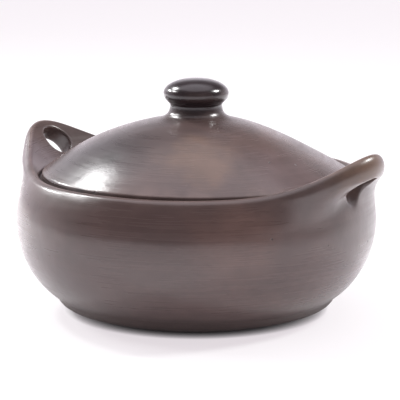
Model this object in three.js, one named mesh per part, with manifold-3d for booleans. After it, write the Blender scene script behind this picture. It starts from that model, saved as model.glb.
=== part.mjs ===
// Black clay casserole with a lid: a round burnished pot whose rim rises into two pierced lugs,
// and a domed lid with a turned knob that drops into a seat inside the rim.
// Millimetres, +Z up. The origin is the middle of the foot, and the lugs lie along X.
import * as THREE from 'three';
import { LoftGeometry } from 'three/addons/geometries/LoftGeometry.js';
import { mergeVertices } from 'three/addons/utils/BufferGeometryUtils.js';
import Module from 'manifold-3d';

// Pot
const BELLY_RADIUS = 140;
const BELLY_HEIGHT = 72; // height of the widest ring
const WALL_CENTRE = 80; // radius of the ring that the wall's arcs turn about
const LOWER_WALL_RISE = 68; // vertical half-axis of the wall's arc below the belly
const SHOULDER_RISE = 60.6; // vertical half-axis of the wall's arc above the belly
const SHOULDER_END_ANGLE = 32; // degrees up the shoulder's arc to where the rim starts
const FOOT_FACE_RADIUS = 80; // flat face that the pot rests on
const CREASE_HEIGHT = 13.4; // where the foot's side meets the wall
const CREASE_RADIUS = 110.3;
const FOOT_EDGE = [[92, 2.8], [103, 6], [108.4, 9.4]]; // radius and height, from face to crease
const WALL_THICKNESS = 8.5;
const FLOOR_THICKNESS = 9.5;

// Rim and the seat for the lid
const RIM_RADIUS = 125.5; // the rim's crest
const RIM_HEIGHT = 107.4;
const RIM_OUTER_ROUND = 6;
const RIM_INNER_ROUND = 3.3;
const RIM_START_ANGLE = 34; // degrees up the outer round to where the shoulder ends
const RIM_BORE = RIM_RADIUS - RIM_INNER_ROUND;
const SEAT_HEIGHT = 102.7;
const MOUTH_RADIUS = 113;
const MOUTH_ROUND = 1.2;
const SHELF_UNDERSIDE = 96.5; // where the shelf under the seat meets the mouth

// Lugs
const LUG_HALF_ANGLE = 38; // degrees of rim that a lug covers to each side of its middle
const LUG_TAPER_ANGLE = 47.2; // degrees at which a lug's edge is a tangent of the rim
const LUG_TIP_ROUNDING = 12.3; // degrees over which the two edges round into the tip
const LUG_TIP_RISE = 57.1; // how high the edges would climb with no rounding
const LUG_RISE_POWER = 3;
const LUG_RISE_SPREAD = 1.12; // the climb starts a little outside the taper angle
const LUG_TIP_ROUND = 5.2; // radius of the ridge at the tip
const LUG_END_ROUND = 4.2; // radius of the ridge where it runs out into the rim
const LUG_TIP_DROP = 8.6; // height of the ridge's outer quarter at the tip
const LUG_STEPS = 24;
const LUG_ROOT_RADIUS = 135; // outside of a lug's root at its middle
const LUG_END_ROOT_RADIUS = 131.6;
const LUG_INNER_RISE = 4.6; // height of a lug's upright inner side at its middle
const LUG_INNER_END_RISE = 1.2;

// Finger hole in a lug
const FINGER_HOLE_RADIUS = 13.3;
const FINGER_HOLE_CENTRE = 136.2; // on the lug's upper face
const FINGER_HOLE_HEIGHT = 120;
const FINGER_HOLE_TILT = 34; // degrees from upright, the lower end outwards
const FINGER_DRILL_LENGTH = 60;

// Lid
const LID_RADIUS = 119.5;
const LID_EDGE_HEIGHT = 108; // where the dome's slope would meet the edge
const LID_DOME_RISE = 43.8;
const LID_DOME_POWER = 1.88; // 2 would be a parabola
const LID_EDGE_ROUND = 2.2;
const LID_INNER_RADIUS = 111;
const LID_INNER_RISE = 41.4;

// Knob
const KNOB_FOOT_RADIUS = 25.2;
const KNOB_NECK_RADIUS = 20.3;
const KNOB_NECK_HEIGHT = 158.6;
const KNOB_BULB_RADIUS = 25.2;
const KNOB_BULB_HEIGHT = 168.4;
const KNOB_UNDERCUT = 7.6; // vertical half-axis of the bulb's lower half
const KNOB_UNDERCUT_ANGLE = -52; // degrees below the bulb's widest ring to where it meets the neck
const KNOB_TOP_HEIGHT = 179.8;

const JOINT_GAP = 0.3; // between pieces that touch
const RING_STEPS = 64; // facets round the pot and the lid
const KNOB_STEPS = 40;
const DOME_STEPS = 10;

// Colour and roughness of each piece's clay
const BOWL_CLAY = [0x5a4e48, 0.38];
const LUG_CLAY = [0x4d4038, 0.34];
const DOME_CLAY = [0x716763, 0.32];
const KNOB_CLAY = [0x3a3133, 0.28];

const wasm = await Module();
wasm.setup();

function point(radius, height) {
  return new THREE.Vector2(radius, height);
}

// Points along an elliptic arc in the section plane, angles in degrees from straight outwards.
function arc(radius, height, acrossAxis, upAxis, from, to, steps) {
  const turn = THREE.MathUtils.degToRad;
  const curve = new THREE.EllipseCurve(
    radius, height, acrossAxis, upAxis, turn(from), turn(to), to < from,
  );
  return curve.getPoints(steps);
}

// Turns a section about the upright axis. The section runs from the axis out, up and back.
function turned(section, steps) {
  return new THREE.LatheGeometry(section, steps).rotateX(Math.PI / 2);
}

function asSolid(geometry) {
  const bare = new THREE.BufferGeometry().copy(geometry);
  bare.deleteAttribute('normal');
  bare.deleteAttribute('uv');
  const merged = mergeVertices(bare, 1e-3);
  const corners = merged.index.array;
  const faces = [];
  for (let i = 0; i < corners.length; i += 3) {
    const [a, b, c] = corners.slice(i, i + 3);
    if (a !== b && b !== c && c !== a) faces.push(a, b, c);
  }
  return new wasm.Manifold(new wasm.Mesh({
    numProp: 3,
    vertProperties: new Float32Array(merged.getAttribute('position').array),
    triVerts: new Uint32Array(faces),
  }));
}

function asGeometry(solid) {
  const mesh = solid.getMesh();
  const geometry = new THREE.BufferGeometry();
  geometry.setAttribute('position', new THREE.BufferAttribute(mesh.vertProperties, 3));
  geometry.setIndex(new THREE.BufferAttribute(mesh.triVerts, 1));
  geometry.computeVertexNormals();
  return geometry;
}

// The flat foot, its upturned edge and the crease below the wall.
function footSection() {
  const edge = new THREE.SplineCurve([
    point(FOOT_FACE_RADIUS, 0),
    ...FOOT_EDGE.map(([radius, height]) => point(radius, height)),
    point(CREASE_RADIUS, CREASE_HEIGHT),
  ]);
  return [point(0, 0), ...edge.getPoints(7)];
}

function outerWallSection() {
  const reach = BELLY_RADIUS - WALL_CENTRE;
  const creaseSine = (CREASE_HEIGHT - BELLY_HEIGHT) / LOWER_WALL_RISE;
  const creaseAngle = THREE.MathUtils.radToDeg(Math.asin(creaseSine));
  const wall = arc(WALL_CENTRE, BELLY_HEIGHT, reach, LOWER_WALL_RISE, creaseAngle, 0, 8);
  const shoulder = arc(WALL_CENTRE, BELLY_HEIGHT, reach, SHOULDER_RISE, 0, SHOULDER_END_ANGLE, 4);
  return [...wall.slice(1), ...shoulder.slice(1)];
}

// Over the rounded rim, down its bore, across the seat and round the mouth.
function rimSection() {
  const outer = RIM_OUTER_ROUND;
  const inner = RIM_INNER_ROUND;
  return [
    ...arc(RIM_RADIUS, RIM_HEIGHT - outer, outer, outer, RIM_START_ANGLE, 90, 3),
    ...arc(RIM_RADIUS, RIM_HEIGHT - inner, inner, inner, 90, 180, 3).slice(1),
    point(RIM_BORE, SEAT_HEIGHT),
    ...arc(MOUTH_RADIUS + MOUTH_ROUND, SEAT_HEIGHT - MOUTH_ROUND, MOUTH_ROUND, MOUTH_ROUND, 90, 180, 1),
  ];
}

function innerWallSection() {
  const reach = BELLY_RADIUS - WALL_THICKNESS - WALL_CENTRE;
  const shelfCosine = (MOUTH_RADIUS - WALL_CENTRE) / reach;
  const shelfAngle = THREE.MathUtils.radToDeg(Math.acos(shelfCosine));
  const shelfRise = (SHELF_UNDERSIDE - BELLY_HEIGHT) / Math.sqrt(1 - shelfCosine ** 2);
  const shelf = arc(WALL_CENTRE, BELLY_HEIGHT, reach, shelfRise, shelfAngle, 0, 4);
  const floorRadius = WALL_CENTRE - WALL_THICKNESS;
  const lowerReach = BELLY_RADIUS - WALL_THICKNESS - floorRadius;
  const lowerRise = BELLY_HEIGHT - FLOOR_THICKNESS;
  const lower = arc(floorRadius, BELLY_HEIGHT, lowerReach, lowerRise, 0, -90, 8);
  return [...shelf, ...lower.slice(1), point(0, FLOOR_THICKNESS)];
}

// The piece of rim, above the seat's level, that a lug takes the place of.
function lugNotch() {
  const halfAngle = THREE.MathUtils.degToRad(LUG_HALF_ANGLE) + JOINT_GAP / RIM_RADIUS;
  const plan = new THREE.Shape();
  plan.absarc(0, 0, BELLY_RADIUS, -halfAngle, halfAngle, false);
  plan.absarc(0, 0, MOUTH_RADIUS, halfAngle, -halfAngle, true);
  const depth = RIM_HEIGHT;
  const block = new THREE.ExtrudeGeometry(plan, { depth, bevelEnabled: false, curveSegments: 16 });
  return asSolid(block.translate(0, 0, SEAT_HEIGHT));
}

function bowlGeometry() {
  const section = [...footSection(), ...outerWallSection(), ...rimSection(), ...innerWallSection()];
  const notch = lugNotch();
  const whole = asSolid(turned(section, RING_STEPS));
  return asGeometry(whole.subtract(notch).subtract(notch.rotate([0, 0, 180])));
}

// Crest of a lug's ridge at an angle from the lug's middle. In plan it is two tangents of the
// rim that meet in a rounded tip, and it climbs with a power of the angle left to the taper.
function ridgeCrest(degrees) {
  const rounded = Math.hypot(degrees, LUG_TIP_ROUNDING);
  const left = LUG_TAPER_ANGLE - rounded;
  const spread = 1 - rounded / (LUG_TAPER_ANGLE * LUG_RISE_SPREAD);
  const out = left > 0 ? Math.cos(THREE.MathUtils.degToRad(left)) : 1;
  return point(RIM_RADIUS / out, RIM_HEIGHT + LUG_TIP_RISE * Math.max(spread, 0) ** LUG_RISE_POWER);
}

// Turn, in degrees, at which a line from a point touches an ellipse, worked out as for a circle
// with the heights scaled.
function touchAngle(from, centre, across, up, side) {
  const offset = point(from.x - centre.x, (from.y - centre.y) * across / up);
  const half = Math.acos(Math.min(across / offset.length(), 1));
  return THREE.MathUtils.radToDeg(offset.angle() + side * half);
}

// A lug's section: an upright inner side, the upper face out to the ridge, the ridge, which is
// round inside and deeper outside, the underside back to the shoulder, and the flat root.
function lugSection(degrees) {
  const part = Math.abs(degrees) / LUG_HALF_ANGLE;
  const ridge = THREE.MathUtils.lerp(LUG_TIP_ROUND, LUG_END_ROUND, part);
  const innerRise = THREE.MathUtils.lerp(LUG_INNER_RISE, LUG_INNER_END_RISE, part);
  const root = SEAT_HEIGHT + JOINT_GAP;
  const drop = THREE.MathUtils.lerp(LUG_TIP_DROP, LUG_END_ROUND, part);
  const innerCentre = ridgeCrest(degrees).sub(point(0, ridge));
  const outerCentre = ridgeCrest(degrees).sub(point(0, drop));
  const innerTop = point(RIM_BORE, root + innerRise);
  const outerFoot = point(THREE.MathUtils.lerp(LUG_ROOT_RADIUS, LUG_END_ROOT_RADIUS, part), root);
  const from = touchAngle(innerTop, innerCentre, ridge, ridge, -1);
  const to = touchAngle(outerFoot, outerCentre, ridge, drop, 1);
  const round = [
    ...arc(innerCentre.x, innerCentre.y, ridge, ridge, from, 90, 4),
    ...arc(outerCentre.x, outerCentre.y, ridge, drop, 90, to > 90 ? to - 360 : to, 5).slice(1),
  ];
  const aboveRoot = ({ x, y }) => point(x, Math.max(y, root));
  return [point(RIM_BORE, root), innerTop, ...round.map(aboveRoot), outerFoot];
}

function fingerDrill() {
  const tilt = THREE.MathUtils.degToRad(FINGER_HOLE_TILT);
  const drill = new THREE.CylinderGeometry(
    FINGER_HOLE_RADIUS, FINGER_HOLE_RADIUS, FINGER_DRILL_LENGTH, 32,
  );
  drill.rotateX(Math.PI / 2).rotateY(-tilt);
  return asSolid(drill.translate(FINGER_HOLE_CENTRE, 0, FINGER_HOLE_HEIGHT));
}

function lugGeometry() {
  const sections = [];
  for (let i = 0; i <= LUG_STEPS; i++) {
    const degrees = THREE.MathUtils.lerp(-LUG_HALF_ANGLE, LUG_HALF_ANGLE, i / LUG_STEPS);
    const turn = THREE.MathUtils.degToRad(degrees);
    const place = ({ x, y }) => new THREE.Vector3(x * Math.cos(turn), x * Math.sin(turn), y);
    sections.push(lugSection(degrees).map(place));
  }
  const slab = asSolid(new LoftGeometry(sections, { capStart: true, capEnd: true }));
  return asGeometry(slab.subtract(fingerDrill()));
}

// Height of the dome's outside at a radius.
function domeHeight(radius) {
  return LID_EDGE_HEIGHT + LID_DOME_RISE * (1 - (radius / LID_RADIUS) ** LID_DOME_POWER);
}

function domeGeometry() {
  const bottom = SEAT_HEIGHT + JOINT_GAP;
  const outside = [];
  const inside = [];
  for (let i = 0; i < DOME_STEPS; i++) {
    const radius = THREE.MathUtils.lerp(LID_RADIUS - LID_EDGE_ROUND, KNOB_FOOT_RADIUS, i / DOME_STEPS);
    outside.push(point(radius, domeHeight(radius)));
    const share = 1 - i / DOME_STEPS;
    inside.unshift(point(LID_INNER_RADIUS * share, bottom + LID_INNER_RISE * (1 - share ** LID_DOME_POWER)));
  }
  const section = [
    point(0, bottom + LID_INNER_RISE),
    ...inside,
    point(LID_RADIUS - LID_EDGE_ROUND, bottom),
    point(LID_RADIUS, bottom + LID_EDGE_ROUND),
    point(LID_RADIUS, LID_EDGE_HEIGHT - LID_EDGE_ROUND / 2),
    ...outside,
    point(KNOB_FOOT_RADIUS, domeHeight(KNOB_FOOT_RADIUS)),
    point(0, domeHeight(KNOB_FOOT_RADIUS)),
  ];
  return turned(section, RING_STEPS);
}

function knobGeometry() {
  const bottom = domeHeight(KNOB_FOOT_RADIUS) + JOINT_GAP;
  const filletReach = KNOB_FOOT_RADIUS - KNOB_NECK_RADIUS;
  const filletRise = KNOB_NECK_HEIGHT - bottom;
  const fillet = arc(KNOB_FOOT_RADIUS, KNOB_NECK_HEIGHT, filletReach, filletRise, 270, 180, 4);
  const undercut = arc(0, KNOB_BULB_HEIGHT, KNOB_BULB_RADIUS, KNOB_UNDERCUT, KNOB_UNDERCUT_ANGLE, 0, 4);
  const cap = arc(0, KNOB_BULB_HEIGHT, KNOB_BULB_RADIUS, KNOB_TOP_HEIGHT - KNOB_BULB_HEIGHT, 0, 90, 7);
  const section = [point(0, bottom), ...fillet, ...undercut, ...cap.slice(1, -1), point(0, KNOB_TOP_HEIGHT)];
  return turned(section, KNOB_STEPS);
}

function clayPiece(name, geometry, [color, roughness]) {
  const material = new THREE.MeshStandardMaterial({ color, roughness, metalness: 0 });
  const mesh = new THREE.Mesh(geometry, material);
  mesh.name = name;
  return mesh;
}

function pot() {
  const group = new THREE.Group();
  group.add(clayPiece('pot_bowl', bowlGeometry(), BOWL_CLAY));
  for (const [side, turn] of [['right', 0], ['left', Math.PI]]) {
    const lug = clayPiece(`handle_lug_${side}`, lugGeometry(), LUG_CLAY);
    lug.rotation.z = turn;
    group.add(lug);
  }
  return group;
}

function lid() {
  const group = new THREE.Group();
  group.add(clayPiece('lid_dome', domeGeometry(), DOME_CLAY));
  group.add(clayPiece('lid_knob', knobGeometry(), KNOB_CLAY));
  return group;
}

const casserole = new THREE.Group();
casserole.add(pot(), lid());
export default casserole;
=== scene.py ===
"""A burnished black clay casserole with a domed lid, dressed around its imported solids.

The pot is one continuous clay surface, from the foot over the rim and its two raised, pierced
lugs to the inside, and so is the lid with its knob. Each is a section worked out for every
direction round the upright axis. Section sizes are in millimetres, and meshes in metres.
"""

import logging
import math
from collections.abc import Sequence
from dataclasses import dataclass, field
from enum import Enum

import bmesh
import bpy
import numpy as np
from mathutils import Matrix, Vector


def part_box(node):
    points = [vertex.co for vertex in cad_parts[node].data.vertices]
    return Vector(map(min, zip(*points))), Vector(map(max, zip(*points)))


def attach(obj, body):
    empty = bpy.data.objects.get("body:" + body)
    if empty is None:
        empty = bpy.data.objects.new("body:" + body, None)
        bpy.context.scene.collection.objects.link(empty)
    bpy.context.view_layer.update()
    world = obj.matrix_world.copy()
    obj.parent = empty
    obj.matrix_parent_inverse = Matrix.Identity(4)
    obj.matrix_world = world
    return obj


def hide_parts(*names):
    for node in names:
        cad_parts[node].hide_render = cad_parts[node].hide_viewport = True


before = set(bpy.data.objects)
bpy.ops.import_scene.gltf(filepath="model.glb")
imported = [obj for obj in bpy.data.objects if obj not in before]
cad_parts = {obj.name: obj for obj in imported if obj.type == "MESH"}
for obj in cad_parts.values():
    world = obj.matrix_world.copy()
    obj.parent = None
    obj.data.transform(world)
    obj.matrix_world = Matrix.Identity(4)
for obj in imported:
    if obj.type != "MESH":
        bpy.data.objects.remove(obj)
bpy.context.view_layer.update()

log = logging.getLogger("casserole")
MM = 0.001

Array = np.ndarray
Colour = tuple[float, float, float, float]
Place = tuple[float, float]
Sway = tuple[float, float, float, float]


# ---------------------------------------------------------------- section and mesh helpers


def smooth_table(x: Array, places: Sequence[float], values: Sequence[float]) -> Array:
    """Smooth curve through a few points, level at both ends.

    Between two points it is a cubic whose end slopes are the slope from the point before to the
    point after, and zero at the first and last point.

    Args:
        x: where the curve is read.
        places: places of the points, rising.
        values: heights of the points.

    Returns:
        The curve's height at each x.
    """
    at, height = np.asarray(places, float), np.asarray(values, float)
    slope = np.zeros_like(at)
    slope[1:-1] = (height[2:] - height[:-2]) / (at[2:] - at[:-2])
    x = np.clip(x, at[0], at[-1])
    k = np.clip(np.searchsorted(at, x, side="right") - 1, 0, len(at) - 2)
    span = at[k + 1] - at[k]
    t = (x - at[k]) / span
    near = (1 + 2 * t) * (1 - t) ** 2 * height[k] + t * (1 - t) ** 2 * span * slope[k]
    far = t * t * (3 - 2 * t) * height[k + 1] + t * t * (t - 1) * span * slope[k + 1]
    return near + far


def smoothstep(x: Array, low: float, high: float) -> Array:
    """0 below low, 1 above high, and the cubic 3t^2 - 2t^3 between them."""
    t = np.clip((x - low) / (high - low), 0.0, 1.0)
    return t * t * (3.0 - 2.0 * t)


def bell(x: Array, width: float) -> Array:
    """1 at zero, falling off as e to the power of minus the square of x over the width."""
    return np.exp(-(x / width) ** 2)


def arc(centre: Place, axes: Place, start: float, end: float, count: int) -> Array:
    """Points on an ellipse: centre plus the half-axes times cosine and sine of the angle.

    Args:
        centre: radius and height of the middle.
        axes: half-axis across and half-axis up.
        start: first angle in degrees, from straight outwards.
        end: last angle in degrees.
        count: number of steps.

    Returns:
        Points of (radius, height), one more than the steps.
    """
    angle = np.radians(np.linspace(start, end, count + 1))
    across = centre[0] + axes[0] * np.cos(angle)
    return np.stack([across, centre[1] + axes[1] * np.sin(angle)], -1)


def bezier(points: Sequence[Array | Place], t: Array) -> Array:
    """A quadratic or cubic curve on its control points, each weighted by its Bernstein term.

    Args:
        points: three or four control points, or arrays of them.
        t: places along the curve, from 0 to 1.

    Returns:
        The points at each t.
    """
    order = len(points) - 1
    terms = [math.comb(order, i) * t ** i * (1 - t) ** (order - i) for i in range(order + 1)]
    return sum(term[..., None] * np.asarray(p) for term, p in zip(terms, points))


def path_reach(paths: Array, turn_weight: float) -> Array:
    """Running length of each path, with some millimetres added per radian of turning.

    Half of each turn is counted before the corner and half after it. A step of no length keeps
    the heading of the last real one.

    Args:
        paths: paths by points by 2.
        turn_weight: millimetres that one radian of turning counts as.

    Returns:
        Paths by points, starting at 0.
    """
    step = np.diff(paths, axis=1)
    length = np.hypot(step[..., 0], step[..., 1])
    heading = np.arctan2(step[..., 1], step[..., 0])
    real = np.where(length > 1e-6, np.arange(length.shape[1]), 0)
    heading = np.take_along_axis(heading, np.maximum.accumulate(real, axis=1), axis=1)
    bend = np.abs((np.diff(heading, axis=1) + np.pi) % (2 * np.pi) - np.pi)
    turn = np.zeros_like(length)
    turn[:, 1:] += bend / 2
    turn[:, :-1] += bend / 2
    running = np.cumsum(length + turn_weight * turn, 1)
    return np.concatenate([np.zeros((len(paths), 1)), running], 1)


def evened(path: Array, count: int, turn_weight: float) -> Array:
    """Spreads points along a path evenly in length plus a share of how much the path turns.

    Args:
        path: dense points of (radius, height).
        count: number of steps wanted.
        turn_weight: millimetres of length that one radian of turning counts as.

    Returns:
        count + 1 points on the path.
    """
    reach = path_reach(path[None], turn_weight)[0]
    want = np.linspace(0.0, reach[-1], count + 1)
    return np.stack([np.interp(want, reach, path[:, k]) for k in (0, 1)], -1)


def turned_points(section: Array, angles: Array) -> Array:
    """Carries sections round the upright axis: x is r cos, y is r sin and z is the height.

    Args:
        section: (radius, height) as rows by columns by 2, or rows by 2 for one shared section.
        angles: the columns' directions in radians.

    Returns:
        Rows by columns by 3.
    """
    if section.ndim == 2:
        section = np.repeat(section[:, None], len(angles), 1)
    r, z = section[..., 0], section[..., 1]
    return np.stack([r * np.cos(angles), r * np.sin(angles), z], -1)


def ring_quads(rows: int, columns: int) -> Array:
    """Faces between the rows of a grid that closes on itself.

    Args:
        rows: number of rows.
        columns: number of columns.

    Returns:
        Rows less one by columns by the four corners' numbers.
    """
    number = np.arange(rows * columns).reshape(rows, columns)
    beside = np.roll(number, -1, axis=1)
    return np.stack([number[:-1], beside[:-1], beside[1:], number[1:]], -1)


def pole_fans(rows: int, columns: int, first_pole: int) -> Array:
    """Triangles that close the first and last row of such a grid on two poles.

    Args:
        rows: number of rows.
        columns: number of columns.
        first_pole: the first pole's number; the last one's follows it.

    Returns:
        Triangles by 3.
    """
    ring = np.arange(columns)
    beside = np.roll(ring, -1)
    last = (rows - 1) * columns
    return np.concatenate([
        np.stack([np.full_like(ring, first_pole), ring, beside], -1),
        np.stack([np.full_like(ring, first_pole + 1), last + beside, last + ring], -1),
    ])


def open_edge_count(quads: Array, triangles: Array) -> int:
    """Number of edges that don't lie between exactly two faces.

    Args:
        quads: corner numbers of the four-sided faces.
        triangles: corner numbers of the triangles.

    Returns:
        0 for a closed surface.
    """
    sides = [np.stack([faces, np.roll(faces, -1, axis=1)], -1) for faces in (quads, triangles)]
    edges = np.sort(np.concatenate([side.reshape(-1, 2) for side in sides]), axis=1)
    uses = np.unique(edges, axis=0, return_counts=True)[1]
    return int(np.count_nonzero(uses != 2))


def made_mesh(name: str, points: Array, quads: Array, triangles: Array,
              masks: dict[str, Array]) -> bpy.types.Object:
    """Puts points and faces into a smooth closed mesh that faces outwards.

    Args:
        name: the piece's name.
        points: places in millimetres. Those that no face uses are left out.
        quads: corner numbers of the four-sided faces.
        triangles: corner numbers of the triangles.
        masks: attribute name to one value for each point.

    Returns:
        The piece.
    """
    used = np.zeros(len(points), bool)
    used[quads] = True
    used[triangles] = True
    renumber = np.cumsum(used) - 1
    mesh = bpy.data.meshes.new(name)
    faces = renumber[quads].tolist() + renumber[triangles].tolist()
    mesh.from_pydata((points[used] * MM).tolist(), [], faces)
    shape = bmesh.new()
    shape.from_mesh(mesh)
    bmesh.ops.recalc_face_normals(shape, faces=shape.faces)
    if shape.calc_volume(signed=True) < 0:
        bmesh.ops.reverse_faces(shape, faces=shape.faces)
    shape.to_mesh(mesh)
    shape.free()
    mesh.shade_smooth()
    for label, values in masks.items():
        layer = mesh.attributes.new(label, "FLOAT", "POINT")
        layer.data.foreach_set("value", values[used].astype(np.float32))
    piece = bpy.data.objects.new(name, mesh)
    bpy.context.scene.collection.objects.link(piece)
    log.info("%s: %d faces, %d open edges", name, len(faces), open_edge_count(quads, triangles))
    return piece


# ---------------------------------------------------------------- the pot


@dataclass
class PotSection:
    """The pot's section in each direction, from the belly over the rim or lug to the seat.

    Angles are in degrees from the middle of the nearest lug. Outside the lugs the section is a
    plain shoulder and rounded rim. Inside them the crest climbs and moves out, and two faces
    run up to it: the outer one from a fold on the shoulder and the inner one from the bore.
    Each table holds one value for each of the angles.
    """

    belly_radius: float
    belly_height: float
    rim_radius: float
    rim_height: float
    bore_radius: float
    seat_height: float
    extra_drop: float
    seat_corner: float = 0.8
    taper_angle: float = 47.2
    tip_rounding: float = 12.3
    tip_rise: float = 57.1
    rise_spread: float = 1.12
    lug_start: float = 12.0
    lug_end: float = 46.0
    rim_outer_round: float = 6.0
    rim_inner_round: float = 3.3
    ridge_round: float = 5.2
    belly_pull: float = 0.4
    corner_below: float = 0.6
    corner_most: float = 0.9
    curve_steps: int = 25
    steps: int = 88
    turn_weight: float = 5.0
    angles: tuple[float, ...] = (0.0, 5.0, 11.0, 20.0, 33.0, 47.0, 62.0, 90.0)
    drops: tuple[float, ...] = (3.4, 2.8, 1.6, 1.0, 0.2, 0.0, 0.0, 0.0)
    fold_radii: tuple[float, ...] = (137.2, 137.4, 137.8, 138.3, 138.0, 136.9, 136.3, 136.3)
    fold_heights: tuple[float, ...] = (104.6, 103.2, 97.6, 93.0, 91.5, 94.0, 96.2, 96.2)
    neck_radii: tuple[float, ...] = (138.2, 138.2, 138.4, 138.8, 138.9, 138.8, 138.7, 138.7)
    neck_heights: tuple[float, ...] = (96.0, 95.0, 90.0, 86.0, 84.0, 84.4, 84.6, 84.6)
    fold_shares: tuple[float, ...] = (0.3, 0.34, 0.42, 0.6, 0.85, 1.0, 1.0, 1.0)
    inner_corners: tuple[float, ...] = (108.0, 108.0, 107.8, 107.2, 105.3, 104.2, 104.0, 104.0)
    corner_reaches: tuple[float, ...] = (5.0, 4.9, 4.8, 4.0, 2.0, 0.6, 0.3, 0.3)

    def crest(self, angle: Array) -> Array:
        """Crest of the rim.

        In plan it is the rim's circle and two straight tangents that meet in a rounded tip:
        rim radius over the cosine of what is left of the taper angle. It climbs with the cube
        of what is left of the spread angle.

        Args:
            angle: degrees from the middle of the lug.

        Returns:
            (radius, height) at each angle.
        """
        rounded = np.hypot(angle, self.tip_rounding)
        left = np.radians(np.maximum(self.taper_angle - rounded, 0.0))
        share = np.maximum(1.0 - rounded / (self.taper_angle * self.rise_spread), 0.0)
        height = self.rim_height + self.tip_rise * share ** 3
        return np.stack([self.rim_radius / np.cos(left), height], -1)

    def read(self, angle: Array, values: tuple[float, ...]) -> Array:
        """One of the section's tables at these angles."""
        return smooth_table(np.abs(angle), self.angles, values)

    @staticmethod
    def touch(source: Array, centre: Array, radius: Array, side: int) -> Array:
        """Where a line from a point touches a circle.

        The angle at the centre between the point and the touch has the radius over the distance
        as its cosine.

        Args:
            source: the points.
            centre: the circles' middles.
            radius: the circles' radii.
            side: 1 for the touch anticlockwise of the point, -1 for the other one.

        Returns:
            The touch's angle in radians, from straight outwards.
        """
        offset = source - centre
        reach = np.hypot(offset[..., 0], offset[..., 1])
        opening = np.arccos(np.clip(radius / reach, 0.0, 1.0))
        return np.arctan2(offset[..., 1], offset[..., 0]) + side * opening

    @staticmethod
    def on_ellipse(centre: Array, across: Array, up: Array, turn: Array) -> Array:
        """Points at these turns, in radians, on ellipses with these half-axes."""
        offset = [across[:, None] * np.cos(turn), up[:, None] * np.sin(turn)]
        return centre[:, None] + np.stack(offset, -1)

    def dense(self, angle: Array) -> Array:
        """The band's dense points.

        A cubic leaves the belly upright, a quadratic rounds the fold, a straight run reaches
        the ridge, two arcs go over it, a straight run comes down the inner face and a quadratic
        rounds the corner into the bore.

        Args:
            angle: one angle for each curve.

        Returns:
            Curves by points by 2.
        """
        angle = np.abs(np.asarray(angle, float))
        lug = 1.0 - smoothstep(angle, self.lug_start, self.lug_end)
        outer_round = self.rim_outer_round + (self.ridge_round - self.rim_outer_round) * lug
        inner_round = self.rim_inner_round + (self.ridge_round - self.rim_inner_round) * lug
        crest = self.crest(angle)
        upright = np.array([0.0, 1.0])
        drop = self.rim_outer_round + self.extra_drop * self.read(angle, self.drops)
        outer_centre = crest - drop[:, None] * upright
        inner_centre = crest - inner_round[:, None] * upright
        fold, neck = (
            np.stack([self.read(angle, radii), self.read(angle, heights)], -1)
            for radii, heights in ((self.fold_radii, self.fold_heights),
                                   (self.neck_radii, self.neck_heights))
        )
        bore = np.full_like(angle, self.bore_radius)
        corner = np.stack([bore, self.read(angle, self.inner_corners)], -1)
        squash = np.stack([np.ones_like(drop), outer_round / drop], -1)
        low = self.touch(fold * squash, outer_centre * squash, outer_round, 1)
        low = (low + np.pi) % (2 * np.pi) - np.pi
        high = self.touch(corner, inner_centre, inner_round, -1) % (2 * np.pi)

        t = np.linspace(0.0, 1.0, self.curve_steps)
        rows = np.repeat(t[None], len(angle), 0)
        belly = np.broadcast_to([self.belly_radius, self.belly_height], crest.shape)
        rise = (neck - belly)[:, 1:] * self.belly_pull
        into_neck = fold - neck
        into_neck = into_neck / np.linalg.norm(into_neck, axis=-1, keepdims=True)
        outer_touch = self.on_ellipse(outer_centre, outer_round, drop, low[:, None])[:, 0]
        inner_touch = self.on_ellipse(inner_centre, inner_round, inner_round, high[:, None])[:, 0]
        share = np.minimum(self.read(angle, self.fold_shares), 1.0)[:, None]
        fold_end = fold + share * (outer_touch - fold)
        inward = inner_touch - corner
        length = np.linalg.norm(inward, axis=-1, keepdims=True)
        reach = np.minimum(self.read(angle, self.corner_reaches)[:, None],
                           self.corner_most * length)
        corner_start = corner + inward / np.maximum(length, 1e-6) * reach
        corner_end = corner - self.corner_below * reach * upright
        bore_end = np.stack([bore, np.full_like(angle, self.seat_height + self.seat_corner)], -1)

        def run(*controls: Array) -> Array:
            """The Bezier curve on these controls for every angle."""
            return bezier([c[:, None] for c in controls], rows)

        turn_out = low[:, None] + (np.pi / 2 - low)[:, None] * t
        turn_in = np.pi / 2 + (high - np.pi / 2)[:, None] * t
        parts = [
            run(belly, belly + rise * upright, neck - rise * into_neck, neck),
            run(neck, fold, fold_end),
            run(fold_end, outer_touch),
            self.on_ellipse(outer_centre, outer_round, drop, turn_out),
            self.on_ellipse(inner_centre, inner_round, inner_round, turn_in),
            run(inner_touch, corner_start),
            run(corner_start, corner, corner_end),
            run(corner_end, bore_end),
        ]
        return np.concatenate([parts[0]] + [part[:, 1:] for part in parts[1:]], 1)

    def points(self, angle: Array, step: Array) -> Array:
        """Points of the band at angles and steps.

        Args:
            angle: one angle for each curve.
            step: curves by places, each from 0 at the belly to self.steps at the seat.

        Returns:
            Curves by places by 2.
        """
        paths = self.dense(angle)
        reach = path_reach(paths, self.turn_weight)
        want = step / self.steps * reach[:, -1:]
        curves = [
            [np.interp(places, along, path[:, k]) for k in (0, 1)]
            for places, along, path in zip(want, reach, paths)
        ]
        return np.moveaxis(np.array(curves), 1, 2)


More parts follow.
